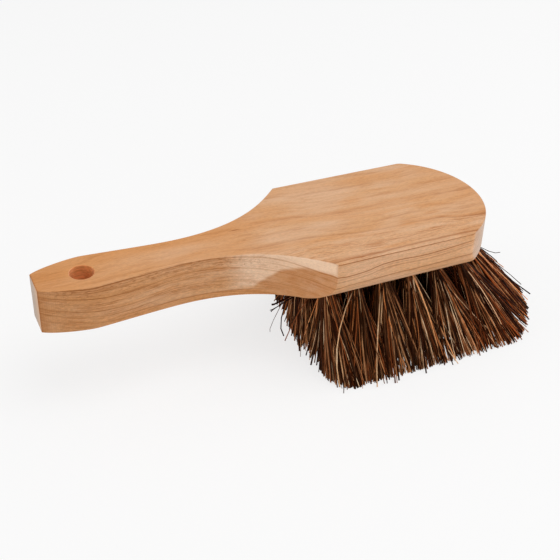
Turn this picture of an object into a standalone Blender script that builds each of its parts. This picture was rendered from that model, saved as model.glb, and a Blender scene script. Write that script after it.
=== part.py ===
"""Scrub brush: a one-piece hardwood block and handle, filled with fibre tufts.

Each tuft is folded in a blind hole and held there by a wire staple driven
into the bottom of the hole. The brush stands on its fibre tips.

Metres, +Z up. The brush is laid out with x = 0 at the end of the handle, +X
towards the nose, y = 0 on its centre line and z = 0 on its flat top face. The
empty that carries every piece then puts the origin under the middle of the
brush, on the surface that it stands on.
"""

import math
import random

import bmesh
import bpy
import numpy as np
from mathutils import Vector

# Wood: the block and the handle
THICKNESS = 0.0203
HANDLE_LENGTH = 0.1175
BLOCK_LENGTH = 0.0857
BLOCK_HALF_WIDTH = 0.0336
NOSE_FLATNESS = 0.0043
NOSE_CORNER_RADIUS = 0.005
LEAST_CORNER_RADIUS = 0.0004
END_HALF_WIDTH = 0.0062
SWELL_FROM_END = 0.0216
SWELL_HALF_WIDTH = 0.0118
WAIST_FROM_END = 0.0604
WAIST_HALF_WIDTH = 0.0091
EDGE_EASE = 0.001
ROUND_OVER = 0.0109
NOSE_ROUND_OVER = 0.006
HANG_HOLE_RADIUS = 0.005
HANG_HOLE_FROM_END = 0.0196

# Shares of a handle curve's span that its tangents reach, at its start and at its end
END_TO_SWELL_SHARES = (0.21, 0.215)
SWELL_TO_WAIST_SHARES = (0.08, 0.25)
WAIST_TO_SHOULDER_SHARES = (0.56, 0.18)
END_ANGLE = math.radians(35)
SHOULDER_ANGLE = math.radians(45)

# Tufts: where they stand, how far they lean and how long they are
SIDE_MARGIN = 0.0096
NOSE_MARGIN = 0.0077
FIRST_TUFT_FROM_SHOULDER = 0.001
ROW_COUNTS = {"a": 6, "b": 5, "c": 7, "d": 5, "e": 6}
TRIM_LENGTH = 0.0407
SIDE_LEAN = math.radians(16)
NOSE_LEAN = math.radians(36.5)
LEAN_START_SHARE = 0.28
LEAN_POWER = 1.5
BACK_LEAN = math.radians(7)
BACK_LEAN_REACH = 0.045
FAN_LENGTH_SHARE = 0.41
FAN_WIDTH_SHARE = 0.44

# Drilled holes, and the folded root that fills each one
HOLE_RADIUS = 0.0032
WOOD_OVER_HOLES = 0.0083
CLEARANCE = 0.0003
ROOT_PROUD = 0.0008

# Strands: one in the middle of each tuft and two rings round it
RING_COUNTS = (1, 4, 8)
RING_SHARES = (0.0, 0.5, 1.0)
STRAND_SIDES = 3
STRAND_ROOT_RADIUS = 0.00045
STRAND_MIDDLE_RADIUS = 0.0007
STRAND_TIP_RADIUS = 0.0007
STRAND_RIM = 0.0003
STRAND_BOW_SHARE = 0.12
TIP_SCATTER = 0.0003
SHORT_STRAND_SHARE = 0.3
MOST_SHORT = 0.0022

# Staples: a U of wire across the fold, with its legs driven into the wood
WIRE_RADIUS = 0.0005
FOLD_THICKNESS = 0.002
LEG_BITE = 0.004

# How far a cutter runs past what it cuts, and how finely round shapes are faceted
OVERRUN = 0.005
HANDLE_STEPS = (6, 6, 12)
CORNER_STEPS = 2
NOSE_STEPS = 14
EASE_STEPS = 2
ROUND_OVER_STEPS = 4
HANG_HOLE_SIDES = 24
HOLE_SIDES = 10
WIRE_SIDES = 6
SEAT_SIDES = 4
WOOD_CREASE = math.radians(30)
WIRE_CREASE = math.radians(70)
SEED = 8

SHOULDER = HANDLE_LENGTH
OVERALL_LENGTH = HANDLE_LENGTH + BLOCK_LENGTH
NOSE_RADIUS = BLOCK_HALF_WIDTH + NOSE_FLATNESS
NOSE_CENTRE = OVERALL_LENGTH - NOSE_RADIUS
STAND_HEIGHT = THICKNESS + TRIM_LENGTH
OUTER_ROW = BLOCK_HALF_WIDTH - SIDE_MARGIN
ROW_PITCH = OUTER_ROW / 2
FIRST_TUFT = SHOULDER + FIRST_TUFT_FROM_SHOULDER
LAST_TUFT = OVERALL_LENGTH - NOSE_MARGIN
TUFT_PITCH = (LAST_TUFT - FIRST_TUFT) / (max(ROW_COUNTS.values()) - 1)
LEAN_START = FIRST_TUFT + LEAN_START_SHARE * (LAST_TUFT - FIRST_TUFT)
HOLE_DEPTH = THICKNESS - WOOD_OVER_HOLES
ROOT_RADIUS = HOLE_RADIUS - CLEARANCE
ROOT_DEPTH = HOLE_DEPTH - CLEARANCE
CROWN_DEPTH = ROOT_DEPTH - FOLD_THICKNESS - CLEARANCE - WIRE_RADIUS
CROWN_HALF_LENGTH = ROOT_RADIUS - CLEARANCE - WIRE_RADIUS
LEG_DEPTH = HOLE_DEPTH + LEG_BITE
SEAT_RADIUS = (WIRE_RADIUS + CLEARANCE) / math.cos(math.pi / SEAT_SIDES)
FAN_RADIUS = ROOT_RADIUS - STRAND_ROOT_RADIUS - STRAND_RIM
AHEAD = Vector((1, 0, 0))
ASIDE = Vector((0, 1, 0))
DOWN = Vector((0, 0, -1))


def clear_scene():
    for item in list(bpy.data.objects):
        bpy.data.objects.remove(item, do_unlink=True)


def make_material(name, colour, roughness, metallic):
    material = bpy.data.materials.new(name)
    material.use_nodes = True
    shader = material.node_tree.nodes["Principled BSDF"]
    shader.inputs["Base Color"].default_value = (*colour, 1)
    shader.inputs["Roughness"].default_value = roughness
    shader.inputs["Metallic"].default_value = metallic
    return material


def skinned_object(name, stacks, place=Vector((0, 0, 0))):
    """One object at place, from stacks of like loops, each stack skinned and capped."""
    shape = bmesh.new()
    for loops in stacks:
        rings = [[shape.verts.new(Vector(point) - place) for point in loop] for loop in loops]
        count = len(rings[0])
        for low, high in zip(rings, rings[1:]):
            for i in range(count):
                j = (i + 1) % count
                shape.faces.new((low[i], low[j], high[j], high[i]))
        shape.faces.new(rings[0][::-1])
        shape.faces.new(rings[-1])
    bmesh.ops.recalc_face_normals(shape, faces=shape.faces)
    mesh = bpy.data.meshes.new(name)
    shape.to_mesh(mesh)
    shape.free()
    item = bpy.data.objects.new(name, mesh)
    item.location = place
    bpy.context.scene.collection.objects.link(item)
    return item


def make_cutter(item):
    """Marks an object that only shapes its neighbours."""
    item.hide_render = True
    item.display_type = "WIRE"
    return item


def add_boolean(item, operation, other):
    change = item.modifiers.new(other.name, "BOOLEAN")
    change.operation = operation
    change.solver = "EXACT"
    if isinstance(other, bpy.types.Collection):
        change.operand_type = "COLLECTION"
        change.collection = other
    else:
        change.object = other


def ring(centre, radius, sides, across, along, turn=0.0):
    """A regular polygon round centre, in the plane of two unit vectors."""
    angles = [turn + 2 * math.pi * i / sides for i in range(sides)]
    return [centre + radius * (math.cos(a) * across + math.sin(a) * along) for a in angles]


def shade_smooth(item, crease):
    """Smooth shading, with the edges that turn by more than crease left sharp."""
    item.data.shade_smooth()
    item.data.set_sharp_from_angle(angle=crease)


# Wood


def curve_points(start, end, start_slope, end_slope, shares, steps):
    """A cubic curve from start to end, whose tangents reach shares of its length in x."""
    span = end[0] - start[0]
    start_pull = shares[0] * span
    end_pull = shares[1] * span
    handles = (
        start,
        (start[0] + start_pull, start[1] + start_pull * start_slope),
        (end[0] - end_pull, end[1] - end_pull * end_slope),
        end,
    )
    t = np.linspace(0, 1, steps + 1)[:, None]
    weights = np.hstack(((1 - t) ** 3, 3 * (1 - t) ** 2 * t, 3 * (1 - t) * t**2, t**3))
    return weights @ np.array(handles)


def handle_side():
    """The handle's half width from its end to the shoulder, as points (x, y)."""
    end = (0.0, END_HALF_WIDTH)
    swell = (SWELL_FROM_END, SWELL_HALF_WIDTH)
    waist = (WAIST_FROM_END, WAIST_HALF_WIDTH)
    shoulder = (SHOULDER, BLOCK_HALF_WIDTH)
    end_slope = math.tan(END_ANGLE)
    shoulder_slope = math.tan(SHOULDER_ANGLE)
    runs = (
        curve_points(end, swell, end_slope, 0, END_TO_SWELL_SHARES, HANDLE_STEPS[0]),
        curve_points(swell, waist, 0, 0, SWELL_TO_WAIST_SHARES, HANDLE_STEPS[1]),
        curve_points(waist, shoulder, 0, shoulder_slope, WAIST_TO_SHOULDER_SHARES, HANDLE_STEPS[2]),
    )
    return np.vstack((runs[0][:-1], runs[1][:-1], runs[2]))


def inset_handle(ease, limit):
    """The handle's side moved in by ease, from the eased end to where it meets y = limit."""
    side = handle_side()
    slope = np.gradient(side[:, 1], side[:, 0])
    length = np.hypot(1, slope)
    inner = side + ease * np.column_stack((slope / length, -1 / length))
    flare = side[:, 0] >= WAIST_FROM_END
    end = np.interp(limit, inner[flare, 1], inner[flare, 0])
    shares = side[:, 0] / SHOULDER
    x = ease + shares * (end - ease)
    y = np.interp(x, inner[:, 0], inner[:, 1])
    y[-1] = limit
    return np.column_stack((x, y))


def plan_loop(ease, side_inset, nose_inset, z):
    """The outline at height z: the handle moved in by ease, the block's sides and nose by their own."""
    side = BLOCK_HALF_WIDTH - side_inset
    nose = NOSE_RADIUS - nose_inset
    corner = max(NOSE_CORNER_RADIUS - min(side_inset, nose_inset), LEAST_CORNER_RADIUS)
    turn_y = side - corner
    turn_angle = math.asin(turn_y / (nose - corner))
    turn_x = NOSE_CENTRE + (nose - corner) * math.cos(turn_angle)
    half = [tuple(point) for point in inset_handle(ease, side)]
    for i in range(CORNER_STEPS):
        angle = math.pi / 2 + (turn_angle - math.pi / 2) * i / CORNER_STEPS
        half.append((turn_x + corner * math.cos(angle), turn_y + corner * math.sin(angle)))
    for i in range(NOSE_STEPS // 2):
        angle = turn_angle * (1 - 2 * i / NOSE_STEPS)
        half.append((NOSE_CENTRE + nose * math.cos(angle), nose * math.sin(angle)))
    tip = (NOSE_CENTRE + nose, 0)
    other = [(x, -y) for x, y in reversed(half)]
    return [(x, y, z) for x, y in half + [tip] + other]


def quarter_inset(depth, radius):
    """How far a quarter-round edge is in from the side, at a depth below its face."""
    if depth >= radius:
        return 0.0
    return radius - math.sqrt(radius**2 - (radius - depth) ** 2)


def quarter_depths(radius, steps):
    return [radius * (1 - math.cos(math.pi / 2 * i / steps)) for i in range(steps + 1)]


def wood_loops():
    """Outlines from the top face down, eased at the top and rounded over below."""
    eases = quarter_depths(EDGE_EASE, EASE_STEPS)
    rounds = [d for d in quarter_depths(ROUND_OVER, ROUND_OVER_STEPS) if d > EDGE_EASE]
    depths = eases + [THICKNESS - d for d in reversed(eases + rounds)]
    loops = []
    for depth in depths:
        top = quarter_inset(depth, EDGE_EASE)
        ease = max(top, quarter_inset(THICKNESS - depth, EDGE_EASE))
        side = max(top, quarter_inset(THICKNESS - depth, ROUND_OVER))
        nose = max(top, quarter_inset(THICKNESS - depth, NOSE_ROUND_OVER))
        loops.append(plan_loop(ease, side, nose, -depth))
    return loops


def hang_hole_cutter():
    ends = [Vector((HANG_HOLE_FROM_END, 0, z)) for z in (OVERRUN, -THICKNESS - OVERRUN)]
    loops = [ring(end, HANG_HOLE_RADIUS, HANG_HOLE_SIDES, AHEAD, ASIDE) for end in ends]
    cutter = make_cutter(skinned_object("cut_hang_hole", [loops]))
    shade_smooth(cutter, WOOD_CREASE)
    return cutter


# Layout of the tufts


def lean_at(x, y):
    """The slope of a fibre at a place on the block: how far it leans for each metre down.

    All lean out, more so towards the nose, and those at the far back corner lean ahead too.
    """
    forward = max(0.0, (x - LEAN_START) / (LAST_TUFT - LEAN_START))
    corner = max(0.0, 1 - (x - FIRST_TUFT) / BACK_LEAN_REACH) * max(0.0, y) / OUTER_ROW
    return Vector((
        math.tan(NOSE_LEAN) * forward**LEAN_POWER + math.tan(BACK_LEAN) * corner,
        math.tan(SIDE_LEAN) * y / OUTER_ROW,
        0,
    ))


def tuft_places():
    """Every tuft's name and place on the block's underside, row by row."""
    places = {}
    for index, (row, count) in enumerate(ROW_COUNTS.items()):
        y = ROW_PITCH * (index - (len(ROW_COUNTS) - 1) / 2)
        start = FIRST_TUFT + (TUFT_PITCH / 2 if index % 2 else 0)
        end = NOSE_CENTRE + math.sqrt(max(0.0, (NOSE_RADIUS - NOSE_MARGIN) ** 2 - y**2))
        for i in range(count):
            x = start + (end - start) * i / (count - 1)
            places[f"{row}{i + 1}"] = Vector((x, y, -THICKNESS))
    return places


def tuft_axes(mouth):
    """Down the hole's axis and out, along the staple's crown, and square to both."""
    lean = lean_at(mouth.x, mouth.y)
    out = (lean + DOWN).normalized()
    crown = out.cross(DOWN)
    crown = crown.normalized() if crown.length > 0 else AHEAD
    return out, crown, out.cross(crown)


# Tufts and staples


def bore_loops(mouth, axes, radius, depth, reach):
    """A round prism on the hole's axis, from a depth below its mouth to a reach beyond it."""
    out, crown, square = axes
    turn = math.pi / HOLE_SIDES
    ends = (mouth - out * depth, mouth + out * reach)
    return [ring(end, radius, HOLE_SIDES, crown, square, turn) for end in ends]


def staple_path(mouth, axes):
    """The staple's centre line: leg, crown and leg."""
    out, crown, _ = axes
    reach = crown * CROWN_HALF_LENGTH
    top = mouth - out * CROWN_DEPTH
    foot = mouth - out * LEG_DEPTH
    return [foot - reach, top - reach, top + reach, foot + reach]


def staple_loops(mouth, axes, radius, sides, turn, extra):
    """Loops round a staple's path, mitred at its bends, with its feet lengthened by extra."""
    out, crown, square = axes
    path = staple_path(mouth, axes)
    path[0] = path[0] - out * extra
    path[-1] = path[-1] - out * extra
    outward = (-crown, out - crown, out + crown, crown)
    return [ring(p, radius, sides, away, square, turn) for p, away in zip(path, outward)]


def strand_loops(mouth, axes, offset, rng):
    """One strand from its root in the fold to its trimmed tip, bowed a little outwards."""
    _, crown, square = axes
    root = mouth + crown * offset.x + square * offset.y
    spot_x = mouth.x + (root.x - mouth.x) * FAN_LENGTH_SHARE * TUFT_PITCH / FAN_RADIUS
    spot_y = mouth.y + (root.y - mouth.y) * FAN_WIDTH_SHARE * ROW_PITCH / FAN_RADIUS
    lean = lean_at(spot_x, spot_y)
    tip = Vector((spot_x, spot_y, -STAND_HEIGHT)) + lean * TRIM_LENGTH
    tip.x += rng.uniform(-TIP_SCATTER, TIP_SCATTER)
    tip.y += rng.uniform(-TIP_SCATTER, TIP_SCATTER)
    turn = rng.uniform(0, 2 * math.pi)
    short = rng.uniform(0, MOST_SHORT) if rng.random() < SHORT_STRAND_SHARE else 0.0
    tip += (root - tip) * (short / TRIM_LENGTH)
    middle = (root + tip) / 2
    middle.x -= (tip.x - root.x) * STRAND_BOW_SHARE / 2
    middle.y -= (tip.y - root.y) * STRAND_BOW_SHARE / 2
    stations = (
        (root, STRAND_ROOT_RADIUS),
        (middle, STRAND_MIDDLE_RADIUS),
        (tip, STRAND_TIP_RADIUS),
    )
    return [ring(p, r, STRAND_SIDES, AHEAD, ASIDE, turn) for p, r in stations]


def strand_stacks(mouth, axes, rng):
    stacks = []
    for count, share in zip(RING_COUNTS, RING_SHARES):
        start = rng.uniform(0, 2 * math.pi)
        for i in range(count):
            angle = start + 2 * math.pi * i / count
            spot = Vector((math.cos(angle), math.sin(angle))) * share * FAN_RADIUS
            stacks.append(strand_loops(mouth, axes, spot, rng))
    return stacks


def build_tuft(label, mouth, rng, cutters):
    """A tuft, its staple and the cutters that seat them. Returns the tuft, the staple and the reach."""
    axes = tuft_axes(mouth)
    hole = skinned_object(
        f"cut_hole_{label}",
        [bore_loops(mouth, axes, HOLE_RADIUS, HOLE_DEPTH, OVERRUN)],
    )
    seat = skinned_object(
        f"cut_staple_{label}",
        [staple_loops(mouth, axes, SEAT_RADIUS, SEAT_SIDES, math.pi / SEAT_SIDES, CLEARANCE)],
    )
    for item in (hole, seat):
        make_cutter(item)
        cutters.objects.link(item)
    staple = skinned_object(
        f"staple_{label}",
        [staple_loops(mouth, axes, WIRE_RADIUS, WIRE_SIDES, 0.0, 0.0)],
        mouth,
    )
    stacks = strand_stacks(mouth, axes, rng)
    strands = make_cutter(skinned_object(f"guide_strands_{label}", stacks))
    tuft = skinned_object(
        f"tuft_{label}",
        [bore_loops(mouth, axes, ROOT_RADIUS, ROOT_DEPTH, ROOT_PROUD)],
        mouth,
    )
    add_boolean(tuft, "UNION", strands)
    add_boolean(tuft, "DIFFERENCE", seat)
    reach = max(point.x for loops in stacks for loop in loops for point in loop)
    return tuft, staple, reach


def main():
    clear_scene()
    wood = make_material("hardwood", (0.66, 0.42, 0.25), 0.55, 0)
    fibre = make_material("palm_fibre", (0.11, 0.05, 0.025), 0.6, 0)
    steel = make_material("staple_wire", (0.6, 0.6, 0.6), 0.35, 1)

    cutters = bpy.data.collections.new("block_cutters")
    bpy.context.scene.collection.children.link(cutters)
    block = skinned_object("block_and_handle", [wood_loops()])
    block.data.materials.append(wood)
    shade_smooth(block, WOOD_CREASE)
    cutters.objects.link(hang_hole_cutter())

    rng = random.Random(SEED)
    reaches = [OVERALL_LENGTH]
    for label, mouth in tuft_places().items():
        tuft, staple, reach = build_tuft(label, mouth, rng, cutters)
        tuft.data.materials.append(fibre)
        staple.data.materials.append(steel)
        shade_smooth(staple, WIRE_CREASE)
        reaches.append(reach)
    add_boolean(block, "DIFFERENCE", cutters)

    brush = bpy.data.objects.new("brush", None)
    bpy.context.scene.collection.objects.link(brush)
    for item in list(bpy.data.objects):
        if item is not brush:
            item.parent = brush
    brush.location = (-max(reaches) / 2, 0, STAND_HEIGHT)


main()
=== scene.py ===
"""Looks of the scrub brush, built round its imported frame.

The wood is modelled again with finer curves, and its growth rings and grain
run right through it. Every tuft is a bundle of fibres folded over its staple.

Metres, +Z up. The wood is laid out as it was planed: x = 0 at the end of the
handle, y = 0 on the centre line and z = 0 on the flat top face. ORIGIN moves
that layout into the frame.
"""

import math

import bmesh
import bpy
import numpy as np
from mathutils import Matrix, Vector


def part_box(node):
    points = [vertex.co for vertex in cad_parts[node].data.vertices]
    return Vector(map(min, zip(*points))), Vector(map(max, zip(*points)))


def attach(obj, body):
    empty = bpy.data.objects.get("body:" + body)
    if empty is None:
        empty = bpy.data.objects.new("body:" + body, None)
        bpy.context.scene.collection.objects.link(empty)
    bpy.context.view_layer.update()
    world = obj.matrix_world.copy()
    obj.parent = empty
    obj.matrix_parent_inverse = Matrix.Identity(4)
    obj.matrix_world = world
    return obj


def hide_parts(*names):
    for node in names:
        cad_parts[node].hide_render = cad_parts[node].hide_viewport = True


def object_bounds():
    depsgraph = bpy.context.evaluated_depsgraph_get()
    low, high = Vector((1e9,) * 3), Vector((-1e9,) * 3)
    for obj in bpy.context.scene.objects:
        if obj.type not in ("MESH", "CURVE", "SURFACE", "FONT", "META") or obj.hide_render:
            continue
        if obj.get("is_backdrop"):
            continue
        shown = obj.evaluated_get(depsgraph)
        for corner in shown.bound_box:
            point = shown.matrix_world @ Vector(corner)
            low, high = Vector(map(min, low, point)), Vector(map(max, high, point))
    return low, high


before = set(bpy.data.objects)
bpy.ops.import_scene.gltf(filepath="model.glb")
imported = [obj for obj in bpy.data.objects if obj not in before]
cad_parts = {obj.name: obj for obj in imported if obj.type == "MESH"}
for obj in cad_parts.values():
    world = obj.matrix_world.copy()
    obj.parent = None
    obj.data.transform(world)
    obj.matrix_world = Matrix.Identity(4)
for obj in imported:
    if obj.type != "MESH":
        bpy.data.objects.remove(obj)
cad_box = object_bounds()
wood_low, wood_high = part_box("block_and_handle")

# Sizes that the frame gives
ORIGIN = Vector((wood_low.x, 0, wood_high.z))
OVERALL_LENGTH = wood_high.x - wood_low.x
BLOCK_HALF_WIDTH = wood_high.y
THICKNESS = wood_high.z - wood_low.z
STAND_HEIGHT = wood_high.z
TRIM_LENGTH = STAND_HEIGHT - THICKNESS
BODY = "root"

# Wood: outline and edges
SHOULDER = 0.1175
NOSE_FLATNESS = 0.0043
NOSE_CORNER_RADIUS = 0.005
LEAST_CORNER_RADIUS = 0.0004
# Places on the handle's side, as x and half width
END = (0.0, 0.0062)
SWELL = (0.0216, 0.0118)
WAIST = (0.0604, 0.0091)
EDGE_EASE = 0.0003
CORNER_EASE = 0.0002
ROUND_OVER = 0.0109
NOSE_ROUND_OVER = 0.006
HANG_HOLE_RADIUS = 0.005
HANG_HOLE_FROM_END = 0.0196
HANG_HOLE_EASE = 0.0004
END_ANGLE = math.radians(35)
SHOULDER_ANGLE = math.radians(45)
# From the end to the swell, on to the waist and on to the shoulder
HANDLE_SHARES = ((0.21, 0.215), (0.08, 0.25), (0.56, 0.18))
HANDLE_STEPS = (20, 20, 44)
CORNER_STEPS = 6
SOFT_STEPS = 4
NOSE_STEPS = 44
EASE_STEPS = 5
ROUND_OVER_STEPS = 14
SIDE_STEPS = 3
HANG_HOLE_SIDES = 72
OVERRUN = 0.005
CREASE = math.radians(38)

# Tufts: the layout of the holes and the lean of the fibres
SIDE_MARGIN = 0.0096
NOSE_MARGIN = 0.0077
FIRST_TUFT_FROM_SHOULDER = 0.001
ROW_COUNTS = {"a": 6, "b": 5, "c": 7, "d": 5, "e": 6}
SIDE_LEAN = math.radians(16)
NOSE_LEAN = math.radians(36.5)
LEAN_START_SHARE = 0.28
LEAN_POWER = 1.5
BACK_LEAN = math.radians(7)
BACK_LEAN_REACH = 0.045
HOLE_RADIUS = 0.0032
HOLE_DEPTH = 0.012
HOLE_SIDES = 28
CLEARANCE = 0.0003

# Fibres: pairs of loose ends, each pair of one folded fibre
PAIRS = 116
NOSE_PAIRS = 36
FIBRE_SIDES = 5
FIBRE_STEPS = 5
FOLD_STEPS = 5
FIBRE_RADIUS = 0.00026
FIBRE_RADIUS_SPREAD = 0.34
LEAST_FIBRE_RADIUS = 0.00012
MOST_FIBRE_RADIUS = 0.00045
FIBRE_TAPER_SHARE = 0.05
FIBRE_WOBBLE_SHARE = 0.07
PALE_RADIUS_SHARE = 0.72
DARK_RADIUS_SHARE = 1.14
CROSSING_SHARE = 0.6
OUTWARD = 0.0028
FAN_MARGIN = 0.0047
FAN_NOSE_MARGIN = 0.002
FAN_BACK = 0.0037
FAN_CORNER_RADIUS = 0.011
FAN_STEP_SHARE = 0.03
TIP_SCATTER = 0.0005
STRAY_SCATTER = 0.0034
STRAY_REACH = 0.0045
STRAY_SHARE = 0.05
BOW = 0.0006
MOST_SHORT = 0.0016
MOST_SHORT_AT_NOSE = 0.0050
SHORT_SHARE = 0.08
VERY_SHORT = 0.008
FIBRE_CREASE = math.radians(80)
TUBE_SEAM = (0.37, 0.61, 0.7)  # a way that no fibre points
SEED = 8

# Loose fibres that stand out of the rest. Each has its tuft, a place on its way, its tip, its radius
# and its tone, from 0 for the darkest fibre to 1 for the palest.
LOOSE_FIBRES = (
    ("b1", (0.1045, -0.0120, -0.0278), (0.0979, -0.0120, -0.0293), 0.00045, 0.05),
    ("b1", (0.1045, -0.0120, -0.0292), (0.0975, -0.0120, -0.0330), 0.00024, 0.10),
    ("b1", (0.1042, -0.0120, -0.0297), (0.0971, -0.0120, -0.0321), 0.00020, 0.10),
    ("c1", (0.1115, 0.0000, -0.0300), (0.1070, 0.0000, -0.0399), 0.00026, 0.62),
    ("c1", (0.1105, 0.0000, -0.0290), (0.1044, 0.0000, -0.0372), 0.00024, 0.66),
    ("c1", (0.1090, 0.0000, -0.0440), (0.1098, 0.0000, -0.0583), 0.00030, 0.08),
    ("c1", (0.1029, -0.0060, -0.0400), (0.1001, -0.0060, -0.0489), 0.00013, 0.40),
    ("b1", (0.1131, -0.0120, -0.0337), (0.1048, -0.0120, -0.0511), 0.00024, 0.64),
    ("a2", (0.1182, -0.0362, -0.0366), (0.1188, -0.0400, -0.0604), 0.00024, 0.92),
    ("a2", (0.1389, -0.0320, -0.0383), (0.1485, -0.0352, -0.0593), 0.00018, 0.92),
    ("a3", (0.1373, -0.0370, -0.0426), (0.1338, -0.0463, -0.0604), 0.00030, 0.90),
    ("a4", (0.1666, -0.0330, -0.0437), (0.1752, -0.0462, -0.0602), 0.00026, 0.93),
    ("a5", (0.1813, -0.0331, -0.0360), (0.1952, -0.0380, -0.0520), 0.00017, 0.92),
    ("a6", (0.1936, -0.0350, -0.0357), (0.2057, -0.0400, -0.0593), 0.00022, 0.95),
    ("c7", (0.2152, 0.0000, -0.0363), (0.2251, 0.0000, -0.0405), 0.00018, 0.20),
    ("c7", (0.2174, 0.0000, -0.0392), (0.2243, 0.0000, -0.0461), 0.00026, 0.10),
    ("b5", (0.2115, -0.0130, -0.0345), (0.2298, -0.0140, -0.0518), 0.00020, 0.30),
    ("b5", (0.2125, -0.0130, -0.0365), (0.2318, -0.0140, -0.0564), 0.00018, 0.35),
)

# Staples
WIRE_RADIUS = 0.0005
FOLD_THICKNESS = 0.002
LEG_BITE = 0.004
BEND_RADIUS = 0.0009
WIRE_SIDES = 12
WIRE_CREASE = math.radians(60)
BEND_STEPS = 5

# The photograph's camera, in the layout of the wood
PHOTO_PIXELS = 560
FOCAL_PIXELS = 1061.2
SENSOR_MM = 36
CAMERA_PLACE = Vector((-0.0563, -0.3495, 0.2399))
CAMERA_YAW = math.radians(25.05)
CAMERA_PITCH = math.radians(34.62)
CAMERA_ROLL = math.radians(-1.74)
CAMERA_CLIP = (0.01, 20)

NOSE_RADIUS = BLOCK_HALF_WIDTH + NOSE_FLATNESS
NOSE_CENTRE = OVERALL_LENGTH - NOSE_RADIUS
OUTER_ROW = BLOCK_HALF_WIDTH - SIDE_MARGIN
ROW_PITCH = OUTER_ROW / 2
FIRST_TUFT = SHOULDER + FIRST_TUFT_FROM_SHOULDER
LAST_TUFT = OVERALL_LENGTH - NOSE_MARGIN
TUFT_PITCH = (LAST_TUFT - FIRST_TUFT) / (max(ROW_COUNTS.values()) - 1)
LEAN_START = FIRST_TUFT + LEAN_START_SHARE * (LAST_TUFT - FIRST_TUFT)
ROOT_RADIUS = HOLE_RADIUS - CLEARANCE
ROOT_DEPTH = HOLE_DEPTH - CLEARANCE
CROWN_DEPTH = ROOT_DEPTH - FOLD_THICKNESS - CLEARANCE - WIRE_RADIUS
CROWN_HALF_LENGTH = ROOT_RADIUS - CLEARANCE - WIRE_RADIUS
LEG_DEPTH = HOLE_DEPTH + LEG_BITE
FAN_CENTRE = Vector((NOSE_CENTRE, 0, -THICKNESS))
AHEAD = Vector((1, 0, 0))
ASIDE = Vector((0, 1, 0))
DOWN = Vector((0, 0, -1))


# Small tools for meshes


def link(item):
    bpy.context.scene.collection.objects.link(item)
    return item


def mesh_object(name, points, faces):
    mesh = bpy.data.meshes.new(name)
    mesh.from_pydata([tuple(p) for p in points], [], faces)
    return link(bpy.data.objects.new(name, mesh))


def tube_faces(start, rings, sides):
    """The faces round rings of points, the first of which is number start, and a cap at both ends."""
    faces = []
    last = start + (rings - 1) * sides
    for low in range(start, last, sides):
        high = low + sides
        for i in range(sides):
            j = (i + 1) % sides
            faces.append((low + i, low + j, high + j, high + i))
    return faces + [tuple(range(start, start + sides))[::-1], tuple(range(last, last + sides))]


def skinned_object(name, loops):
    """One closed mesh from like loops, capped at both ends."""
    points = [Vector(point) + ORIGIN for loop in loops for point in loop]
    item = mesh_object(name, points, tube_faces(0, len(loops), len(loops[0])))
    shape = bmesh.new()
    shape.from_mesh(item.data)
    bmesh.ops.recalc_face_normals(shape, faces=shape.faces)
    shape.to_mesh(item.data)
    shape.free()
    return item


def ring(centre, radius, sides, across, along, turn=0.0):
    angles = [turn + 2 * math.pi * i / sides for i in range(sides)]
    return [centre + radius * (math.cos(a) * across + math.sin(a) * along) for a in angles]


def smooth(item, crease):
    """Shades item smooth, apart from edges sharper than crease."""
    item.data.shade_smooth()
    item.data.set_sharp_from_angle(angle=crease)


def pulled(start, corner, end, steps):
    """Points on a curve from start to end that a corner pulls to itself."""
    shares = [i / steps for i in range(steps + 1)]
    return [start * (1 - t) ** 2 + corner * 2 * t * (1 - t) + end * t**2 for t in shares]


def softened(before, corner, after, radius, steps):
    """A corner between two straight runs, turned into a short curve."""
    before, corner, after = (Vector(p) for p in (before, corner, after))
    start = corner + (before - corner).normalized() * radius
    end = corner + (after - corner).normalized() * radius
    return pulled(start, corner, end, steps)


def apply_modifiers(item):
    """Gives item the mesh that its modifiers make."""
    graph = bpy.context.evaluated_depsgraph_get()
    made = bpy.data.meshes.new_from_object(item.evaluated_get(graph), depsgraph=graph)
    item.modifiers.clear()
    item.data = made


# Small tools for materials


def tint(red, green, blue):
    """A colour as it shows on screen, 0 to 255, in linear light."""
    shares = [value / 255 for value in (red, green, blue)]
    return (*[s / 12.92 if s <= 0.04045 else ((s + 0.055) / 1.055) ** 2.4 for s in shares], 1.0)


BLOB_CORE = 0.2


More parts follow.
